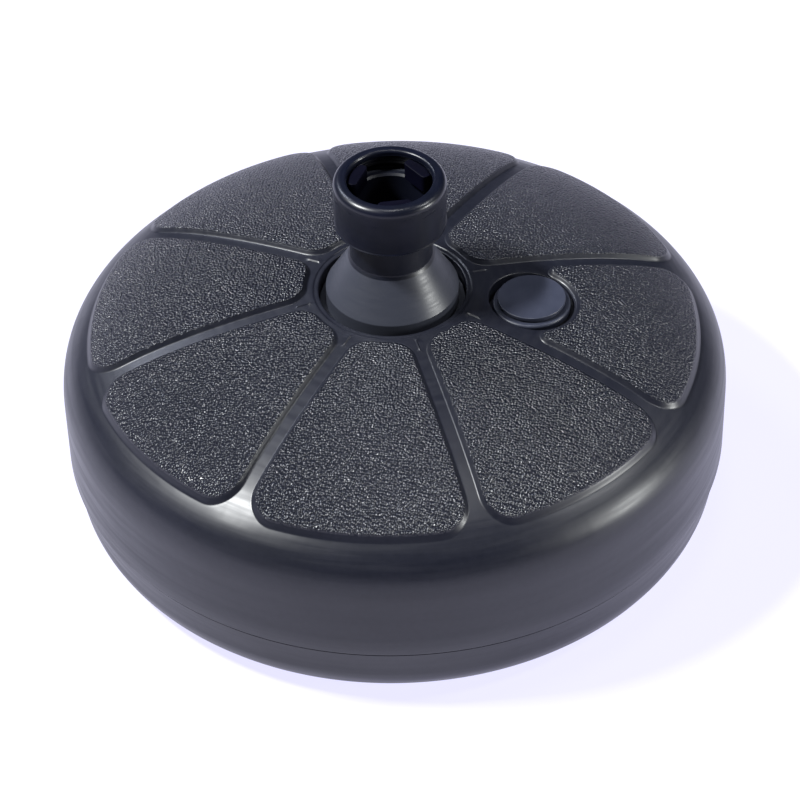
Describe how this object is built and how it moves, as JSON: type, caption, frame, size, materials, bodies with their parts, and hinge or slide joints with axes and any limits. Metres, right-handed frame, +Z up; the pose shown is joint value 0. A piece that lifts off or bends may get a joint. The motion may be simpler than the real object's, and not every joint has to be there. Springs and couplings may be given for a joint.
{
  "type": "pole base",
  "caption": "Round black plastic fillable base with raised petal panels, a flared pole socket topped by a threaded clamp nut, and a screw-in filler cap",
  "frame": {"origin": "Centre of the foot ring on the floor, under the pole axis", "axes": "+Z up along the pole, +X from the pole axis through the filler cap, +Y completes a right-handed frame"},
  "size_m": [0.4501, 0.45, 0.2593],
  "materials": {
    "tank_plastic": "satin, pebble grain on the panels",
    "socket_plastic": "satin",
    "nut_plastic": "satin",
    "jaw_plastic": "satin",
    "cap_plastic": "satin",
    "seal_rubber": "matte"
  },
  "bodies": {
    "tank": {"tank_shell": "tank_plastic", "pole_socket": "socket_plastic"},
    "ring": {"pressure_ring": "nut_plastic"},
    "nut": {"clamp_nut": "nut_plastic"},
    "jaw_1": {"clamp_jaw_1": "jaw_plastic"},
    "jaw_2": {"clamp_jaw_2": "jaw_plastic"},
    "jaw_3": {"clamp_jaw_3": "jaw_plastic"},
    "gasket": {"cap_gasket": "seal_rubber"},
    "cap": {"filler_cap": "cap_plastic"}
  },
  "joints": [
    {"name": "ring_travel", "type": "slide", "parent": "tank", "child": "ring", "axis": [0, 0, 1], "range_m": [-0.0046, 0.0031]},
    {"name": "nut_turn", "type": "hinge", "parent": "ring", "child": "nut", "pos_m": [0, 0, 0.24], "axis": [0, 0, 1], "range_deg": [-540, 360]},
    {"name": "jaw_1_travel", "type": "slide", "parent": "tank", "child": "jaw_1", "axis": [0.7071, 0.7071, 0], "range_m": [-0.00115, 0.00078]},
    {"name": "jaw_2_travel", "type": "slide", "parent": "tank", "child": "jaw_2", "axis": [-0.9659, 0.2588, 0], "range_m": [-0.00115, 0.00078]},
    {"name": "jaw_3_travel", "type": "slide", "parent": "tank", "child": "jaw_3", "axis": [0.2588, -0.9659, 0], "range_m": [-0.00115, 0.00078]},
    {"name": "gasket_lift", "type": "slide", "parent": "tank", "child": "gasket", "axis": [0, 0, 1], "range_m": [-0.0001, 0.0091]},
    {"name": "cap_turn", "type": "hinge", "parent": "gasket", "child": "cap", "pos_m": [0.093, 0, 0.16], "axis": [0, 0, 1], "range_deg": [0, 1080]}
  ],
  "couplings": [
    {"joint": "ring_travel", "follows": "nut_turn", "m_per_rad": 0.00047746},
    {"joint": "jaw_1_travel", "follows": "nut_turn", "m_per_rad": 0.00011937},
    {"joint": "jaw_2_travel", "follows": "nut_turn", "m_per_rad": 0.00011937},
    {"joint": "jaw_3_travel", "follows": "nut_turn", "m_per_rad": 0.00011937},
    {"joint": "gasket_lift", "follows": "cap_turn", "m_per_rad": 0.00047746}
  ]
}
